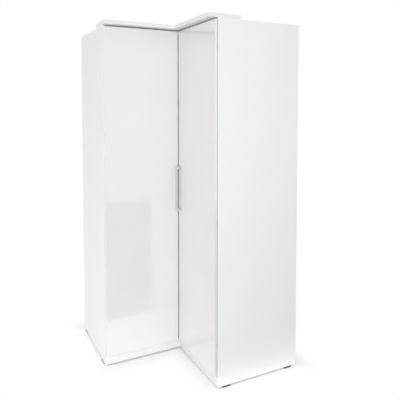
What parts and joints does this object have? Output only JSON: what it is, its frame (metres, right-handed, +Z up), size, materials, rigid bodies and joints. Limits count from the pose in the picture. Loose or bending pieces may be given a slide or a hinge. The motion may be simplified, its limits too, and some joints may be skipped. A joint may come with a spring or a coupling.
{
  "type": "corner wardrobe",
  "caption": "Free-standing corner wardrobe of two equal wings, with tall gloss leaves meeting at the inner corner, a bow handle, shelves, a hat shelf and a clothes rail.",
  "frame": {"origin": "on the floor, under the middle of the square plan that the two wings and the notch between them fill", "axes": "+Z up; -Y is the front: the left leaf faces -Y and the right leaf faces -X, so the picture looks from the -X -Y side; the room's walls stand at +X and +Y"},
  "size_m": [1.12, 1.12, 2.235],
  "materials": {
    "melamine_board": "matt white melamine on 16 mm chipboard",
    "gloss_door": "high-gloss white foil on 16 mm fibreboard",
    "back_sheet": "white-faced hardboard",
    "glide_plastic": "dark moulded plastic",
    "catch_plastic": "white moulded plastic",
    "satin_handle": "satin anodised",
    "nickel_steel": "nickel-plated pressed steel",
    "chromed_rail": "chromed steel tube",
    "dark_steel": "dark browned steel"
  },
  "bodies": {
    "carcass": {"left_end_panel": "melamine_board", "right_end_panel": "melamine_board", "partition_panel": "melamine_board", "bottom_board_left": "melamine_board", "bottom_board_right": "melamine_board", "top_board_left": "melamine_board", "top_board_right": "melamine_board", "plinth_left": "melamine_board", "plinth_right": "melamine_board", "rear_corner_post": "melamine_board", "cornice_left": "melamine_board", "cornice_right": "melamine_board", "hat_shelf_right": "melamine_board", "hat_shelf_left": "melamine_board", "fixed_shelf": "melamine_board", "adjustable_shelf_1": "melamine_board", "adjustable_shelf_2": "melamine_board", "back_sheet_left_wing": "back_sheet", "back_sheet_corner_left": "back_sheet", "back_sheet_corner_right": "back_sheet", "back_sheet_right_wing": "back_sheet", "foot_left_front": "glide_plastic", "foot_left_rear": "glide_plastic", "foot_right_front": "glide_plastic", "foot_right_rear": "glide_plastic", "foot_partition": "glide_plastic", "foot_rear_corner": "glide_plastic", "shelf_pin_1_left_front": "nickel_steel", "shelf_pin_1_left_rear": "nickel_steel", "shelf_pin_1_right_front": "nickel_steel", "shelf_pin_1_right_rear": "nickel_steel", "shelf_pin_2_left_front": "nickel_steel", "shelf_pin_2_left_rear": "nickel_steel", "shelf_pin_2_right_front": "nickel_steel", "shelf_pin_2_right_rear": "nickel_steel", "clothes_rail": "chromed_rail", "rail_flange": "nickel_steel", "rail_hanger": "nickel_steel", "hinge_arm_1": "nickel_steel", "hinge_arm_2": "nickel_steel", "hinge_arm_3": "nickel_steel", "hinge_arm_4": "nickel_steel", "magnet_catch": "catch_plastic"},
    "right_door": {"right_door_leaf": "gloss_door", "handle_bow": "satin_handle", "handle_screw_1": "nickel_steel", "handle_screw_2": "nickel_steel", "hinge_cup_1": "nickel_steel", "hinge_cup_2": "nickel_steel", "hinge_cup_3": "nickel_steel", "hinge_cup_4": "nickel_steel", "corner_hinge_right_flap": "dark_steel", "corner_hinge_pin": "dark_steel"},
    "hinge_links": {"hinge_link_1": "nickel_steel", "hinge_link_2": "nickel_steel", "hinge_link_3": "nickel_steel", "hinge_link_4": "nickel_steel"},
    "left_door": {"left_door_leaf": "gloss_door", "corner_hinge_left_flap": "dark_steel", "catch_strike": "nickel_steel"}
  },
  "joints": [
    {"name": "right_door_swing", "type": "hinge", "parent": "carcass", "child": "right_door", "pos_m": [-0.037, -0.55, 1.136], "axis": [0, 0, 1], "range_deg": [0, 105]},
    {"name": "hinge_link_turn", "type": "hinge", "parent": "carcass", "child": "hinge_links", "pos_m": [-0.032, -0.536, 1.136], "axis": [0, 0, 1], "range_deg": [0, 92.4]},
    {"name": "left_door_fold", "type": "hinge", "parent": "right_door", "child": "left_door", "pos_m": [-0.044, -0.044, 1.136], "axis": [0, 0, 1], "range_deg": [-60, 0]}
  ],
  "couplings": [
    {"joint": "hinge_link_turn", "follows": "right_door_swing", "ratio": 0.88},
    {"joint": "left_door_fold", "follows": "right_door_swing", "ratio": -0.5714}
  ]
}
